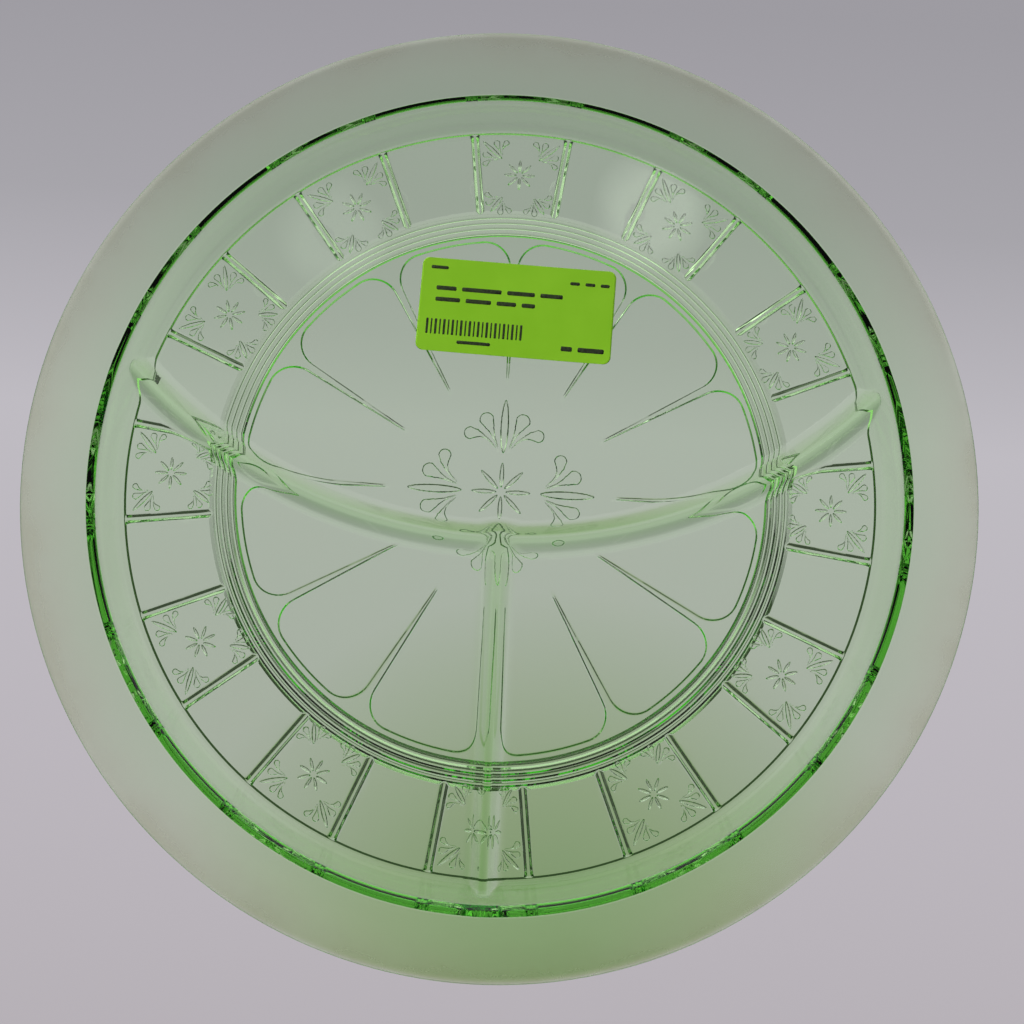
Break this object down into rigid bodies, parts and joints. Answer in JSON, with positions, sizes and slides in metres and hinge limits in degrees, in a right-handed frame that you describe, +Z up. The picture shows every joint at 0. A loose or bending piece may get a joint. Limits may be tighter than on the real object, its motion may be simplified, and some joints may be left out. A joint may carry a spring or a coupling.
{
  "type": "divided glass dish",
  "caption": "Round pressed-glass serving dish with a wide flared rim, a moulded pattern underneath and ridges that divide its flat floor, with a paper price label.",
  "frame": {"origin": "under the middle of the dish, on the plane that its foot rings stand on", "axes": "+Z up out of the dish; the straight divider runs along -Y, and the price label is at +Y"},
  "size_m": [0.2412, 0.2412, 0.017],
  "materials": {
    "green_glass": "pressed uranium glass, pale green, deeper green through the edges, haze on the rim",
    "label_paper": null
  },
  "bodies": {
    "root": {"pressed_glass_dish": "green_glass", "price_label": "label_paper"}
  },
  "joints": []
}
